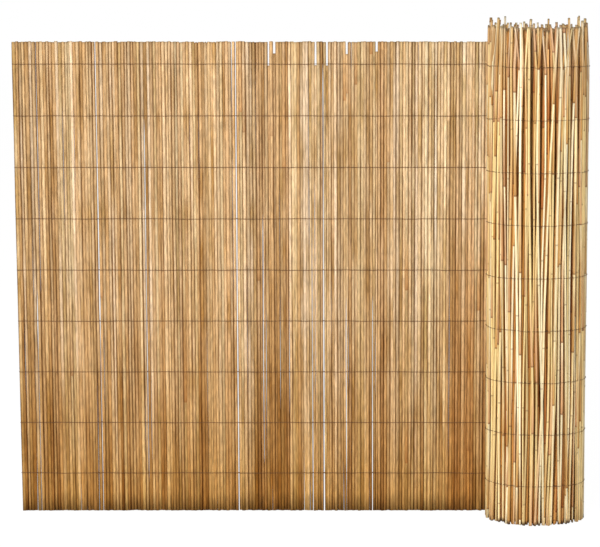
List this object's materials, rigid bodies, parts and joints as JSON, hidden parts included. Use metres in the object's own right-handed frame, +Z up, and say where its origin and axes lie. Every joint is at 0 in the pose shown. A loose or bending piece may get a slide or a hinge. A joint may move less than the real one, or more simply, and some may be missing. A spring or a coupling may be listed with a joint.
{
  "type": "reed screening roll",
  "caption": "Roll of dried reed screening bound with thin wire, standing on end with a straight length drawn off it.",
  "frame": {"origin": "on the floor, at the middle of the footprint's box", "axes": "+Z up along the reeds, +X from the free end of the drawn-off length towards the roll, +Y towards the side of the roll that the length peels away from"},
  "size_m": [1.2086, 0.2222, 1.0534],
  "materials": {
    "reed": "satin",
    "wire": "matte"
  },
  "bodies": {
    "root": {"drawn_reeds": "reed", "turn_1_reeds": "reed", "turn_2_reeds": "reed", "turn_3_reeds": "reed", "turn_4_reeds": "reed", "turn_5_reeds": "reed", "turn_6_reeds": "reed", "turn_7_reeds": "reed", "turn_8_reeds": "reed", "turn_9_reeds": "reed", "wire_row_1": "wire", "wire_row_2": "wire", "wire_row_3": "wire", "wire_row_4": "wire", "wire_row_5": "wire", "wire_row_6": "wire", "wire_row_7": "wire", "wire_row_8": "wire", "wire_row_9": "wire"}
  },
  "joints": []
}
